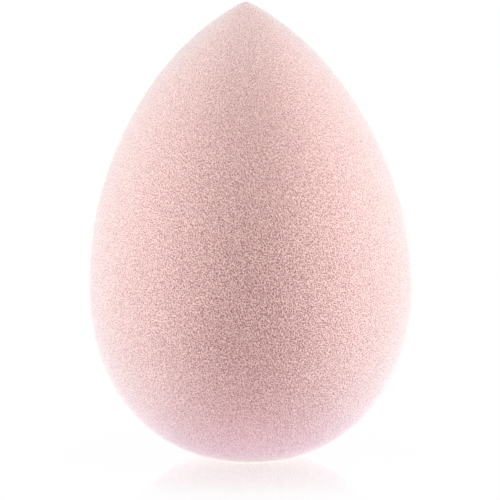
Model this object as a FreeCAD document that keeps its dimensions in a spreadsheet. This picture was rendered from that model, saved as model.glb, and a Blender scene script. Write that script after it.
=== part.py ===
import FreeCAD, Part
import enum
import math
import os

import Sketcher

# A teardrop makeup sponge: one piece of soft foam, round about its upright axis.
# Its meridian is a chain of five tangent arcs (base, belly, flank, crown and nose), closed by the axis
# and by the small flat on which the sponge stands. Millimetres and degrees, +Z up, with the origin at
# the centre of that flat.

SPONGE_NODE = "sponge_body"

# Driving sizes: name, value, and what it measures.
DRIVING_SIZES = [
    ("height", 60.0, "resting flat to tip"),
    ("belly_diameter", 41.8, "across the widest section"),
    ("belly_height", 22.4, "resting flat to the widest section"),
    ("settle_depth", 0.5, "how far the flat cuts into the round base"),
    ("tip_radius", 0.4, "rounding of the point"),
    ("base_angle", 18.0, "where the base arc meets the belly arc, below level"),
    ("crown_angle", 36.0, "where the flank arc meets the crown arc, above level"),
    ("tip_angle", 60.5, "where the crown arc meets the rounding of the point, above level"),
]


class Place(enum.IntEnum):
    """The places on a line, a point or an arc that a constraint can name."""
    START = 1
    END = 2
    CENTRE = 3


class Axis(enum.IntEnum):
    """The sketch's own axes, as a constraint names them; both start at its origin."""
    LEVEL = -1
    UPRIGHT = -2


ORIGIN = (Axis.LEVEL, Place.START)


def make_sheet(document):
    """A spreadsheet with each driving size in a cell of its own name."""
    sheet = document.addObject("Spreadsheet::Sheet", "Sizes")
    for row, (name, value, meaning) in enumerate(DRIVING_SIZES, start=1):
        sheet.set(f"A{row}", name)
        sheet.set(f"B{row}", str(value))
        sheet.setAlias(f"B{row}", name)
        sheet.set(f"C{row}", meaning)
    document.recompute()
    return sheet


def direction(angle):
    """The unit vector at an angle, in radians, above level."""
    return FreeCAD.Vector(math.cos(angle), math.sin(angle), 0)


def base_and_belly(sheet):
    """Two tangent arcs from the lowest point, on the axis, to the widest point."""
    belly_radius = sheet.get("belly_diameter") / 2
    belly_height = sheet.get("belly_height")
    settle_depth = sheet.get("settle_depth")
    join_angle = -math.radians(sheet.get("base_angle"))

    join = direction(join_angle)
    radius_step = (belly_height + settle_depth - belly_radius) / (join.x - join.y - 1)
    base_arc_radius = belly_radius - radius_step * (1 - join.x)
    belly_arc_radius = base_arc_radius + radius_step
    base_centre = FreeCAD.Vector(0, base_arc_radius - settle_depth, 0)
    belly_centre = FreeCAD.Vector(belly_radius - belly_arc_radius, belly_height, 0)
    rim_angle = -math.asin(base_centre.y / base_arc_radius)
    return {
        "base": (base_centre, base_arc_radius, rim_angle, join_angle),
        "belly": (belly_centre, belly_arc_radius, join_angle, 0),
    }


def flank_crown_and_nose(sheet):
    """Two tangent arcs from the widest point to the rounding of the point, and that rounding."""
    widest = FreeCAD.Vector(sheet.get("belly_diameter") / 2, sheet.get("belly_height"), 0)
    tip_radius = sheet.get("tip_radius")
    crown_angle = math.radians(sheet.get("crown_angle"))
    tip_angle = math.radians(sheet.get("tip_angle"))

    nose_centre = FreeCAD.Vector(0, sheet.get("height") - tip_radius, 0)
    travel = widest - (nose_centre + direction(tip_angle) * tip_radius)
    flank_turn = direction(0) - direction(crown_angle)
    crown_turn = direction(crown_angle) - direction(tip_angle)
    spread = flank_turn.x * crown_turn.y - flank_turn.y * crown_turn.x
    flank_radius = (travel.x * crown_turn.y - travel.y * crown_turn.x) / spread
    crown_radius = (travel.y * flank_turn.x - travel.x * flank_turn.y) / spread
    flank_centre = widest - direction(0) * flank_radius
    crown_centre = flank_centre + direction(crown_angle) * (flank_radius - crown_radius)
    return {
        "flank": (flank_centre, flank_radius, 0, crown_angle),
        "crown": (crown_centre, crown_radius, crown_angle, tip_angle),
        "nose": (nose_centre, tip_radius, tip_angle, math.pi / 2),
    }


def draw_meridian(sketch, sheet):
    """Draw the half section; returns the number of each line, arc and point by name."""
    arcs = {**base_and_belly(sheet), **flank_crown_and_nose(sheet)}
    number = {}
    ends = {}
    for name, (centre, radius, first, last) in arcs.items():
        circle = Part.Circle(centre, FreeCAD.Vector(0, 0, 1), radius)
        number[name] = sketch.addGeometry(Part.ArcOfCircle(circle, first, last), False)
        ends[name] = (centre + direction(first) * radius, centre + direction(last) * radius)

    origin = FreeCAD.Vector(0, 0, 0)
    rim = ends["base"][0]
    tip = ends["nose"][1]
    number["flat"] = sketch.addGeometry(Part.LineSegment(origin, rim), False)
    number["axis"] = sketch.addGeometry(Part.LineSegment(tip, origin), False)

    # Construction: the radius to each join whose angle is given, and the lowest point of the base's circle.
    for name, join in (("base", ends["base"][1]), ("flank", ends["flank"][1]), ("nose", ends["nose"][0])):
        centre = arcs[name][0]
        number[name + "_spoke"] = sketch.addGeometry(Part.LineSegment(centre, join), True)
    lowest = FreeCAD.Vector(0, -sheet.get("settle_depth"), 0)
    number["lowest"] = sketch.addGeometry(Part.Point(lowest), True)
    return number


def constrain_meridian(sketch, number, sheet):
    """Close and fix the half section, with its sizes bound to the sheet."""

    def add(kind, *places):
        return sketch.addConstraint(Sketcher.Constraint(kind, *places))

    # The chain runs along the flat, up the arcs and down the axis, with tangent joins between arcs.
    add("Coincident", number["flat"], Place.START, *ORIGIN)
    add("Horizontal", number["flat"])
    add("Coincident", number["flat"], Place.END, number["base"], Place.START)
    for lower, upper in (("base", "belly"), ("belly", "flank"), ("flank", "crown"), ("crown", "nose")):
        add("Tangent", number[lower], Place.END, number[upper], Place.START)
    add("Coincident", number["nose"], Place.END, number["axis"], Place.START)
    add("Coincident", number["axis"], Place.END, *ORIGIN)
    add("Vertical", number["axis"])

    # The base and the nose are centred on the axis, and the belly's centre is level with the widest point.
    add("PointOnObject", number["base"], Place.CENTRE, Axis.UPRIGHT)
    add("PointOnObject", number["nose"], Place.CENTRE, Axis.UPRIGHT)
    add("Horizontal", number["belly"], Place.CENTRE, number["belly"], Place.END)

    # Each spoke is the radius to a join, and the lowest point is where the base's circle meets the axis.
    for arc, join in (("base", Place.END), ("flank", Place.END), ("nose", Place.START)):
        add("Coincident", number[arc + "_spoke"], Place.START, number[arc], Place.CENTRE)
        add("Coincident", number[arc + "_spoke"], Place.END, number[arc], join)
    lowest = (number["lowest"], Place.START)
    add("PointOnObject", *lowest, Axis.UPRIGHT)
    add("PointOnObject", *lowest, number["base"])

    tip = (number["nose"], Place.END)
    widest = (number["belly"], Place.END)
    half_width = sheet.get("belly_diameter") / 2
    base_turn = -math.radians(sheet.get("base_angle"))
    crown_turn = math.radians(sheet.get("crown_angle"))
    tip_turn = math.radians(sheet.get("tip_angle"))
    sizes = [
        ("height", "DistanceY", (*ORIGIN, *tip), sheet.get("height"), "Sizes.height"),
        ("half_width", "DistanceX", (*ORIGIN, *widest), half_width, "Sizes.belly_diameter / 2"),
        ("belly_height", "DistanceY", (*ORIGIN, *widest), sheet.get("belly_height"), "Sizes.belly_height"),
        ("settle_depth", "DistanceY", (*lowest, *ORIGIN), sheet.get("settle_depth"), "Sizes.settle_depth"),
        ("tip_radius", "Radius", (number["nose"],), sheet.get("tip_radius"), "Sizes.tip_radius"),
        ("base_angle", "Angle", (number["base_spoke"],), base_turn, "-Sizes.base_angle"),
        ("crown_angle", "Angle", (number["flank_spoke"],), crown_turn, "Sizes.crown_angle"),
        ("tip_angle", "Angle", (number["nose_spoke"],), tip_turn, "Sizes.tip_angle"),
    ]
    for name, kind, places, value, expression in sizes:
        sketch.renameConstraint(add(kind, *places, value), name)
        sketch.setExpression(f"Constraints.{name}", expression)


def make_sponge(document, sheet):
    """The foam body: its half section turned once about the upright axis."""
    body = document.addObject("PartDesign::Body", "Sponge")
    body.Label = SPONGE_NODE
    upright_plane = next(plane for plane in body.Origin.OriginFeatures if plane.Role == "XZ_Plane")

    sketch = body.newObject("Sketcher::SketchObject", "Meridian")
    sketch.AttachmentSupport = [(upright_plane, "")]
    sketch.MapMode = "FlatFace"
    number = draw_meridian(sketch, sheet)
    constrain_meridian(sketch, number, sheet)
    document.recompute()

    turned = body.newObject("PartDesign::Revolution", "Teardrop")
    turned.Profile = sketch
    turned.ReferenceAxis = (sketch, ["V_Axis"])
    turned.Angle = 360
    return body


def check_document(document, bodies):
    """Stop if anything failed to build, or a body isn't one sound solid."""
    for thing in document.Objects:
        if "Invalid" in thing.State or "Error" in thing.State:
            raise RuntimeError(f"{thing.Label} failed to build: {thing.State}")
    for body in bodies:
        shape = body.Shape
        if shape.isNull() or not shape.isValid() or len(shape.Solids) != 1:
            raise RuntimeError(f"{body.Label} isn't one valid solid")


def main():
    document = FreeCAD.newDocument("MakeupSponge")
    sheet = make_sheet(document)
    bodies = [make_sponge(document, sheet)]
    document.recompute()
    check_document(document, bodies)

    os.makedirs("parts", exist_ok=True)
    for body in bodies:
        body.Shape.exportStep(f"parts/{body.Label}.step")
        volume = body.Shape.Volume / 1000
        print(f"{body.Label}: {volume:.2f} cubic centimetres, box {body.Shape.BoundBox}")


main()
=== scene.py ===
import math

import bpy
import numpy as np
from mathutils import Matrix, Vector


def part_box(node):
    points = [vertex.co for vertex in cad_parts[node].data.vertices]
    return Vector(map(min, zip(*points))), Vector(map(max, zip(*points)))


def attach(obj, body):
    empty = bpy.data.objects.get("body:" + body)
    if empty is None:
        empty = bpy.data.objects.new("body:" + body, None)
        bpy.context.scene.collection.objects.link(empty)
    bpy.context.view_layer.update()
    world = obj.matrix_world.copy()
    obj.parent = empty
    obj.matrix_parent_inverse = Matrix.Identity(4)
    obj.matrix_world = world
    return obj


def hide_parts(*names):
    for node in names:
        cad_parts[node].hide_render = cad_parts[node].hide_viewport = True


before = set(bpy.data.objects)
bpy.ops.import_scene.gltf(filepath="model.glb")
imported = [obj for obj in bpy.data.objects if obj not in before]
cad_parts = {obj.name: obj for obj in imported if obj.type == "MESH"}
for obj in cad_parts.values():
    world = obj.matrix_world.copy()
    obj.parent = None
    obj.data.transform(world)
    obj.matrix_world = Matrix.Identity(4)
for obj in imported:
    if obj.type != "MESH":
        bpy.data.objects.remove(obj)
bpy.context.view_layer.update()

# A teardrop makeup sponge of fine open-celled foam, standing on its round base.
# Metres, +Z up, with the origin at the centre of the patch on which it stands.

MM = 0.001
WHITE = (1, 1, 1, 1)

# The teardrop's outline: its height and width are the fixed frame's own.
SPONGE_NODE = "sponge_body"
BELLY_HEIGHT = 22.4 * MM
SETTLE_DEPTH = 0.5 * MM
TIP_RADIUS = 0.4 * MM
BASE_ANGLE = math.radians(18.0)
CROWN_ANGLE = math.radians(36.0)
TIP_ANGLE = math.radians(60.5)

# How the real sponge differs from that outline turned about its axis.
TIP_LEAN = -0.65 * MM
BASE_LEAN = -0.13 * MM
EXTRA_SETTLE = 0.2 * MM
RIM_SOFTNESS = 0.15 * MM
TIP_SOFTNESS = 0.45 * MM
LOWER_FULLNESS = 0.11 * MM
FULLNESS_HEIGHT = 5.0 * MM
FULLNESS_SPAN = 4.0 * MM
SWELL_DEPTH = 0.05 * MM
SWELL_SIZE = 11.0 * MM
SWELL_SALT = 53

# The mesh: a cube blown up to a sphere and drawn into the teardrop.
CELLS_PER_EDGE = 380
SAMPLES_PER_ARC = 1200
MAP_MARGIN = 0.02
JOIN_STEPS = 1e5
JOIN_SPAN = 1000000

# The foam's surface: fine random grit on every mesh point, with finer cell walls in the shader. Its colour
# is darker and redder where the grit and the cells sink: painted shade in the pits, over the foam's random
# grain.
GRIT_SEED = 5
GRIT_PASSES = 2
BROAD_SHARE = 0.5
GRIT_DEPTH = 0.03 * MM
GRIT_LIMIT = 2.5
TIP_CALM = 0.62
FINE_CELL_SIZE = 0.16 * MM
FINE_CELL_DEPTH = 0.015 * MM
TOP_COLOUR = (0.985, 0.592, 0.52, 1)
# The pits' colour is painted shade: the deeper the grit and the nearer a fine cell's centre, the more of it.
SHADED_PIT_COLOUR = (0.37, 0.012, 0.01, 1)
SHADE_LEVEL = 0.43
PIT_SHARE = 0.9
CELL_SHARE = 0.25
TOP_ROUGHNESS = 0.88
PIT_ROUGHNESS = 1.0
SPECULAR = 0.2
SHEEN = 1.0
SHEEN_ROUGHNESS = 0.82
SHEEN_TINT = (0.82, 0.96, 0.99, 1)

# The floor: what the camera sees of it, and what it gives back to the sponge.
FLOOR_HALF_SIZE = 3.0
MATTE_COLOUR = (0.92, 0.92, 0.92, 1)
SHADOW_SHARE = 0.04
SHADOW_START = 10 * MM
SHINE_SHARE = 0.4
SHINE_START = 8 * MM
SHINE_ROUGHNESS = 0.06
FADE_END = 40 * MM
BOUNCE_COLOUR = (0.9, 0.9, 0.9, 1)
WIDE_GLOW_COLOUR = (0.66, 0.18, 1.0, 1)
WIDE_GLOW_LEVEL = 0.87
WIDE_GLOW_REACH = 15 * MM
NEAR_GLOW_COLOUR = (0.4, 1.0, 0.2, 1)
NEAR_GLOW_LEVEL = 1.7
NEAR_GLOW_REACH = 6 * MM

# The lamps and the camera.
LAMP_SIZE = 0.35
LAMP_DISTANCE = 0.7
LAMP_AIM = (0, 0, BELLY_HEIGHT)
CAMERA_ELEVATION = 7.0
CAMERA_DISTANCE = 0.7
CAMERA_AIM = (-0.1 * MM, 0, 27.16 * MM)
SENSOR_WIDTH = 36
LENS = 386.9
CLIP_NEAR = 0.01
CLIP_FAR = 20

# Large numbers that scramble the place of a lattice corner into a repeatable random value.
AXIS_FACTORS = (73856093, 19349663, 83492791)
SALT_FACTOR = 2654435761
SCRAMBLE_FACTORS = (0x45D9F3B, 0x119DE1F3)
HALF_WORD = 16
WORD_MASK = 0xFFFFFFFF
VALUE_MASK = 0xFFFFFF


def hashed(corner, salt):
    """A repeatable number from 0 to 1 for each lattice corner."""
    first, second, third = AXIS_FACTORS
    mixed = corner[:, 0] * first ^ corner[:, 1] * second ^ corner[:, 2] * third ^ salt * SALT_FACTOR
    mixed &= WORD_MASK
    for factor in SCRAMBLE_FACTORS:
        mixed = ((mixed >> HALF_WORD) ^ mixed) * factor & WORD_MASK
    mixed = (mixed >> HALF_WORD) ^ mixed
    return (mixed & VALUE_MASK) / (VALUE_MASK + 1)


def smooth_noise(points, size, salt):
    """Soft noise from 0 to 1 with lumps of about the given size."""
    scaled = points / size
    base = np.floor(scaled).astype(np.int64)
    part = scaled - base
    part = part * part * (3 - 2 * part)
    total = np.zeros(len(points))
    for offset in np.ndindex(2, 2, 2):
        step = np.array(offset)
        weight = np.prod(np.where(step, part, 1 - part), axis=1)
        total += weight * hashed(base + step, salt)
    return total


def evened(values, faces):
    """Each point's value averaged with those of the faces round it."""
    around = np.repeat(values[faces].mean(axis=1), faces.shape[1])
    return np.bincount(faces.ravel(), around) / np.bincount(faces.ravel())


def kept_above_zero(values, softness):
    """The values, bent smoothly away from 0 so that none falls below it."""
    return (values + np.sqrt(values ** 2 + softness ** 2)) / 2


def outline_arcs(height, belly_radius):
    """The tangent arcs from the lowest point to the tip: centre, radius, first and last angle."""
    step = (BELLY_HEIGHT + SETTLE_DEPTH - belly_radius) / (math.cos(BASE_ANGLE) + math.sin(BASE_ANGLE) - 1)
    base_radius = belly_radius - step * (1 - math.cos(BASE_ANGLE))
    belly_arc = base_radius + step
    nose_height = height - TIP_RADIUS
    turns = np.array([
        [1 - math.cos(CROWN_ANGLE), math.cos(CROWN_ANGLE) - math.cos(TIP_ANGLE)],
        [math.sin(CROWN_ANGLE), math.sin(TIP_ANGLE) - math.sin(CROWN_ANGLE)],
    ])
    travel = np.array([
        belly_radius - TIP_RADIUS * math.cos(TIP_ANGLE),
        nose_height + TIP_RADIUS * math.sin(TIP_ANGLE) - BELLY_HEIGHT,
    ])
    flank, crown = np.linalg.solve(turns, travel)
    flank_centre = np.array([belly_radius - flank, BELLY_HEIGHT])
    crown_centre = flank_centre + (flank - crown) * np.array([math.cos(CROWN_ANGLE), math.sin(CROWN_ANGLE)])
    return [
        (np.array([0, base_radius - SETTLE_DEPTH]), base_radius, -math.pi / 2, -BASE_ANGLE),
        (np.array([belly_radius - belly_arc, BELLY_HEIGHT]), belly_arc, -BASE_ANGLE, 0),
        (flank_centre, flank, 0, CROWN_ANGLE),
        (crown_centre, crown, CROWN_ANGLE, TIP_ANGLE),
        (np.array([0, nose_height]), TIP_RADIUS, TIP_ANGLE, math.pi / 2),
    ]


def sampled_outline(height, belly_radius):
    """Radius, height and slope along the outline, with the share of the surface below each sample."""
    places = []
    angles = []
    for centre, radius, first, last in outline_arcs(height, belly_radius):
        turn = np.linspace(first, last, SAMPLES_PER_ARC)
        places.append(centre + radius * np.column_stack([np.cos(turn), np.sin(turn)]))
        angles.append(turn)
    places = np.concatenate(places)
    angles = np.concatenate(angles)
    stretch = np.linalg.norm(np.diff(places, axis=0), axis=1)
    area = np.concatenate([[0], np.cumsum(stretch * (places[1:, 0] + places[:-1, 0]))])
    return places[:, 0], places[:, 1], angles, area / area[-1]


def cube_sphere(cells):
    """Unit directions, four-cornered faces and flat map places of a cube blown up to a sphere."""
    line = np.tan(np.linspace(-1, 1, cells + 1) * math.pi / 4)
    across, along = np.meshgrid(line, line, indexing="ij")
    number = np.arange((cells + 1) ** 2).reshape(cells + 1, cells + 1)
    square = np.stack([number[:-1, :-1], number[1:, :-1], number[1:, 1:], number[:-1, 1:]], axis=-1)
    flat = np.linspace(MAP_MARGIN, 1 - MAP_MARGIN, cells + 1)
    flat_across, flat_along = np.meshgrid(flat, flat, indexing="ij")
    directions = []
    faces = []
    places = []
    for side in range(6):
        axis = side % 3
        sign = 1 if side < 3 else -1
        point = np.empty((cells + 1, cells + 1, 3))
        point[..., axis] = sign
        point[..., (axis + 1) % 3] = across * sign
        point[..., (axis + 2) % 3] = along
        directions.append(point.reshape(-1, 3) / np.linalg.norm(point.reshape(-1, 3), axis=1)[:, None])
        faces.append(square.reshape(-1, 4) + side * number.size)
        # The flat map has three tiles in a row, and two rows.
        tile = np.stack([flat_across + axis, flat_along + (side > 2)], axis=-1) / 3
        places.append(tile.reshape(-1, 2))
    directions = np.concatenate(directions)
    faces = np.concatenate(faces)
    places = np.concatenate(places)[faces]

    # Points that two or three sides share are joined into one.
    keys = np.round((directions + 2) * JOIN_STEPS).astype(np.int64)
    keys = (keys[:, 0] * JOIN_SPAN + keys[:, 1]) * JOIN_SPAN + keys[:, 2]
    kept, shared = np.unique(keys, return_index=True, return_inverse=True)[1:]
    return directions[kept], shared.reshape(-1)[faces], places


def foam_grit(count, faces):
    """A repeatable random depth for each mesh point, with its broad lumps toned down."""
    grit = np.random.default_rng(GRIT_SEED).standard_normal(count)
    broad = grit
    for _ in range(GRIT_PASSES):
        broad = evened(broad, faces)
    grit = grit - BROAD_SHARE * broad
    return np.clip(grit / grit.std(), -GRIT_LIMIT, GRIT_LIMIT)


def sponge_form():
    """The teardrop's points, faces, flat map places and grit, with its lean and its settled base."""
    low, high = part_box(SPONGE_NODE)
    height = high.z
    radius, level, slope, share = sampled_outline(height, (high.x - low.x) / 2)
    directions, faces, places = cube_sphere(CELLS_PER_EDGE)

    wanted = (1 + directions[:, 2]) / 2
    around = np.arctan2(directions[:, 1], directions[:, 0])
    out = np.column_stack([np.cos(around), np.sin(around)])
    ring = np.interp(wanted, share, radius)
    rise = np.interp(wanted, share, level)
    tilt = np.interp(wanted, share, slope)
    points = np.column_stack([out * ring[:, None], rise])
    normals = np.column_stack([out * np.cos(tilt)[:, None], np.sin(tilt)])

    above = np.clip((rise - BELLY_HEIGHT) / (height - BELLY_HEIGHT), 0, None)
    below = np.clip((BELLY_HEIGHT - rise) / BELLY_HEIGHT, 0, None)
    fullness = np.exp(-((rise - FULLNESS_HEIGHT) / FULLNESS_SPAN) ** 2)
    swell = smooth_noise(points, SWELL_SIZE, SWELL_SALT) - 0.5
    grit = foam_grit(len(points), faces) * (1 - TIP_CALM * above)
    points += normals * (LOWER_FULLNESS * fullness + SWELL_DEPTH * swell + GRIT_DEPTH * grit)[:, None]

    points[:, 0] += TIP_LEAN * above + BASE_LEAN * below
    points[:, 2] = height - kept_above_zero(height - points[:, 2], TIP_SOFTNESS)
    points[:, 2] = kept_above_zero(points[:, 2] - EXTRA_SETTLE, RIM_SOFTNESS)
    return points, faces, places, grit


def sponge_mesh():
    """The sponge's mesh, with its flat map and the grit's depth for the material."""
    points, faces, places, grit = sponge_form()
    mesh = bpy.data.meshes.new("sponge")
    mesh.vertices.add(len(points))
    mesh.vertices.foreach_set("co", points.ravel())
    mesh.loops.add(faces.size)
    mesh.loops.foreach_set("vertex_index", faces.ravel())
    mesh.polygons.add(len(faces))
    mesh.polygons.foreach_set("loop_start", np.arange(0, faces.size, faces.shape[1]))
    mesh.update(calc_edges=True)
    mesh.shade_smooth()
    flat_map = mesh.uv_layers.new(name="OFBake")
    flat_map.uv.foreach_set("vector", places.reshape(-1))
    depth = mesh.attributes.new("grit", "FLOAT", "POINT")
    depth.data.foreach_set("value", grit)
    return mesh


def add_object(name, data):
    """A new object in the scene, with the given data."""
    thing = bpy.data.objects.new(name, data)
    bpy.context.scene.collection.objects.link(thing)
    return thing


def make_sponge():
    """The foam body, in place of the plain solid."""
    sponge = add_object("sponge", sponge_mesh())
    sponge.data.materials.append(foam_material())
    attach(sponge, "root")
    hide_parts(SPONGE_NODE)


def new_material(name):
    """An empty material, with its nodes and links."""
    material = bpy.data.materials.new(name)
    material.use_nodes = True
    material.node_tree.nodes.clear()
    return material, material.node_tree.nodes, material.node_tree.links


def add_node(nodes, kind, **settings):
    """A new node with the given settings; a dict of values goes to its inputs."""
    node = nodes.new(kind)
    for socket, value in settings.pop("values", {}).items():
        node.inputs[socket].default_value = value
    for name, value in settings.items():
        setattr(node, name, value)
    return node


def shader_mix(nodes, links, share, first, second):
    """A mix of two shaders, where the share is the second one's."""
    mix = nodes.new("ShaderNodeMixShader")
    links.new(share, mix.inputs["Fac"])
    links.new(first, mix.inputs[1])
    links.new(second, mix.inputs[2])
    return mix.outputs[0]


def shader_sum(nodes, links, first, second):
    """Two shaders added together."""
    total = nodes.new("ShaderNodeAddShader")
    links.new(first, total.inputs[0])
    links.new(second, total.inputs[1])
    return total.outputs[0]


def foam_material():
    """Pale foam with painted shade in its pits, darker and redder where the grit sinks and near the fine
    cells' centres, and a soft cool bloom from its sheen where it is seen edge-on.
    """
    material, nodes, links = new_material("foam")
    output = nodes.new("ShaderNodeOutputMaterial")
    surface = add_node(nodes, "ShaderNodeBsdfPrincipled", values={
        "Specular IOR Level": SPECULAR,
        "Sheen Weight": SHEEN,
        "Sheen Roughness": SHEEN_ROUGHNESS,
        "Sheen Tint": SHEEN_TINT,
    })
    links.new(surface.outputs["BSDF"], output.inputs["Surface"])

    place = nodes.new("ShaderNodeTexCoord")
    fine_cells = add_node(nodes, "ShaderNodeTexVoronoi", values={"Scale": 1 / FINE_CELL_SIZE})
    links.new(place.outputs["Object"], fine_cells.inputs["Vector"])

    grit = add_node(nodes, "ShaderNodeAttribute", attribute_name="grit")
    lift = add_node(nodes, "ShaderNodeMath", operation="MULTIPLY_ADD", values={1: PIT_SHARE, 2: SHADE_LEVEL})
    links.new(grit.outputs["Fac"], lift.inputs[0])
    shade = add_node(nodes, "ShaderNodeMath", operation="MULTIPLY_ADD", values={1: CELL_SHARE})
    links.new(fine_cells.outputs["Distance"], shade.inputs[0])
    links.new(lift.outputs[0], shade.inputs[2])
    # The ramp paints shade into the pits: low grit and the fine cells' centres get the darker, redder pit
    # colour, and raised grit gets the top colour.
    tint = nodes.new("ShaderNodeValToRGB")
    tint.color_ramp.elements[0].color = SHADED_PIT_COLOUR
    tint.color_ramp.elements[1].color = TOP_COLOUR
    links.new(shade.outputs[0], tint.inputs["Fac"])
    links.new(tint.outputs["Color"], surface.inputs["Base Color"])

    rough = add_node(nodes, "ShaderNodeMapRange", values={"To Min": PIT_ROUGHNESS, "To Max": TOP_ROUGHNESS})
    links.new(shade.outputs[0], rough.inputs["Value"])
    links.new(rough.outputs[0], surface.inputs["Roughness"])

    bump = add_node(nodes, "ShaderNodeBump", values={"Distance": FINE_CELL_DEPTH})
    links.new(fine_cells.outputs["Distance"], bump.inputs["Height"])
    links.new(bump.outputs["Normal"], surface.inputs["Normal"])
    return material


def view_rays(nodes, links):
    """1 for rays that the camera sees, straight on or in a shiny surface, and 0 for light's own paths."""
    path = nodes.new("ShaderNodeLightPath")
    shiny = add_node(nodes, "ShaderNodeMath", operation="MAXIMUM")
    links.new(path.outputs["Is Camera Ray"], shiny.inputs[0])
    links.new(path.outputs["Is Glossy Ray"], shiny.inputs[1])
    seen = add_node(nodes, "ShaderNodeMath", operation="MAXIMUM")
    links.new(shiny.outputs[0], seen.inputs[0])
    links.new(path.outputs["Is Transmission Ray"], seen.inputs[1])
    return seen.outputs[0]


def fading(nodes, links, distance, start, strength):
    """A value that eases from the given strength to 0 with the distance from the sponge's axis."""
    fade = add_node(nodes, "ShaderNodeMapRange", interpolation_type="SMOOTHSTEP", values={
        "From Min": start,
        "From Max": FADE_END,
        "To Min": strength,
        "To Max": 0.0,
    })
    links.new(distance, fade.inputs["Value"])
    return fade.outputs[0]


def floor_glow(nodes, links, distance, colour, level, reach):
    """A coloured light of the floor's own that falls off with the distance from the sponge's axis."""
    falloff = add_node(nodes, "ShaderNodeMath", operation="DIVIDE", values={1: -reach})
    links.new(distance, falloff.inputs[0])
    decay = add_node(nodes, "ShaderNodeMath", operation="EXPONENT")
    links.new(falloff.outputs[0], decay.inputs[0])
    strength = add_node(nodes, "ShaderNodeMath", operation="MULTIPLY", values={1: level})
    links.new(decay.outputs[0], strength.inputs[0])
    glow = add_node(nodes, "ShaderNodeEmission", values={"Color": colour})
    links.new(strength.outputs[0], glow.inputs["Strength"])
    return glow.outputs[0]


def floor_material():
    """White to the camera, with a faint shadow and a shine that fade out round the sponge."""
    material, nodes, links = new_material("floor")
    material.cycles.emission_sampling = "NONE"
    output = nodes.new("ShaderNodeOutputMaterial")
    place = nodes.new("ShaderNodeTexCoord")
    length = add_node(nodes, "ShaderNodeVectorMath", operation="LENGTH")
    links.new(place.outputs["Object"], length.inputs[0])
    distance = length.outputs["Value"]

    white = add_node(nodes, "ShaderNodeEmission", values={"Color": WHITE})
    matte = add_node(nodes, "ShaderNodeBsdfDiffuse", values={"Color": MATTE_COLOUR})
    shadow = fading(nodes, links, distance, SHADOW_START, SHADOW_SHARE)
    shaded = shader_mix(nodes, links, shadow, white.outputs[0], matte.outputs[0])
    mirror = add_node(nodes, "ShaderNodeBsdfGlossy", values={"Color": WHITE, "Roughness": SHINE_ROUGHNESS})
    shine = fading(nodes, links, distance, SHINE_START, SHINE_SHARE)
    polished = shader_mix(nodes, links, shine, shaded, mirror.outputs[0])

    # Light's own paths meet a white floor with two coloured glows, which tint the lower side of the sponge.
    # The camera doesn't see the glows.
    bounce = add_node(nodes, "ShaderNodeBsdfDiffuse", values={"Color": BOUNCE_COLOUR})
    wide = floor_glow(nodes, links, distance, WIDE_GLOW_COLOUR, WIDE_GLOW_LEVEL, WIDE_GLOW_REACH)
    near = floor_glow(nodes, links, distance, NEAR_GLOW_COLOUR, NEAR_GLOW_LEVEL, NEAR_GLOW_REACH)
    glow = shader_sum(nodes, links, wide, near)
    lit = shader_sum(nodes, links, bounce.outputs[0], glow)

    chosen = shader_mix(nodes, links, view_rays(nodes, links), lit, polished)
    links.new(chosen, output.inputs["Surface"])
    return material


def make_floor():
    """The studio's floor, which isn't part of the sponge."""
    half = FLOOR_HALF_SIZE
    mesh = bpy.data.meshes.new("floor")
    corners = [(-half, -half, 0), (half, -half, 0), (half, half, 0), (-half, half, 0)]
    mesh.from_pydata(corners, [], [(0, 1, 2, 3)])
    mesh.materials.append(floor_material())
    floor = add_object("floor", mesh)


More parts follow.
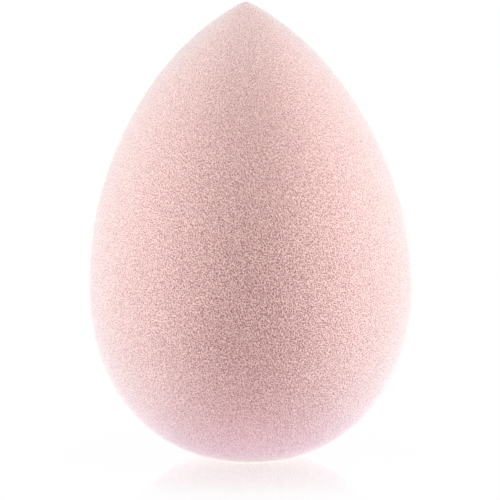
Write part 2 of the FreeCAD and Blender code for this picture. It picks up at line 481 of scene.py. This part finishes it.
def make_world():
    """White to the camera and in shiny reflections, and dark to all other paths of light."""
    world = bpy.data.worlds.new("studio")
    bpy.context.scene.world = world
    world.use_nodes = True
    nodes = world.node_tree.nodes
    links = world.node_tree.links
    nodes.clear()
    output = nodes.new("ShaderNodeOutputWorld")
    backdrop = add_node(nodes, "ShaderNodeBackground", values={"Color": WHITE})
    links.new(view_rays(nodes, links), backdrop.inputs["Strength"])
    links.new(backdrop.outputs[0], output.inputs["Surface"])


def look_at(thing, target, azimuth, elevation, distance):
    """Stands a lamp or camera off from its target; azimuth 0 is the front and 90 the right."""
    turn = math.radians(azimuth)
    lift = math.radians(elevation)
    away = Vector((math.sin(turn) * math.cos(lift), -math.cos(turn) * math.cos(lift), math.sin(lift)))
    thing.location = Vector(target) + away * distance
    thing.rotation_euler = away.to_track_quat("Z", "Y").to_euler()


def add_softbox(name, azimuth, elevation, level):
    """A soft square lamp; at level 1 a white surface that faces it is just white."""
    light = bpy.data.lights.new(name, "AREA")
    light.shape = "SQUARE"
    light.size = LAMP_SIZE
    light.energy = level * math.pi ** 2 * LAMP_DISTANCE ** 2
    lamp = add_object(name, light)
    lamp.visible_camera = False
    look_at(lamp, LAMP_AIM, azimuth, elevation, LAMP_DISTANCE)


def make_lights():
    """Strong light from both sides, with a weaker fill from the front and the top."""
    add_softbox("left", azimuth=-90, elevation=10, level=0.585)
    add_softbox("left_middle", azimuth=-90, elevation=25, level=0.46)
    add_softbox("left_upper", azimuth=-90, elevation=45, level=0.07)
    add_softbox("right", azimuth=90, elevation=10, level=0.43)
    add_softbox("right_middle", azimuth=90, elevation=25, level=0.45)
    add_softbox("right_upper", azimuth=90, elevation=45, level=0.155)
    add_softbox("right_front", azimuth=60, elevation=35, level=0.155)
    add_softbox("front", azimuth=0, elevation=20, level=0.16)
    add_softbox("top", azimuth=0, elevation=75, level=0.235)


def make_camera():
    """A long lens that looks slightly down at the sponge."""
    view = bpy.data.cameras.new("camera")
    view.sensor_width = SENSOR_WIDTH
    view.lens = LENS
    view.clip_start = CLIP_NEAR
    view.clip_end = CLIP_FAR
    camera = add_object("camera", view)
    look_at(camera, CAMERA_AIM, 0, CAMERA_ELEVATION, CAMERA_DISTANCE)
    bpy.context.scene.camera = camera


make_sponge()
make_floor()
make_world()
make_lights()
make_camera()
bpy.context.scene.view_settings.view_transform = "Standard"

bpy.context.view_layer.update()
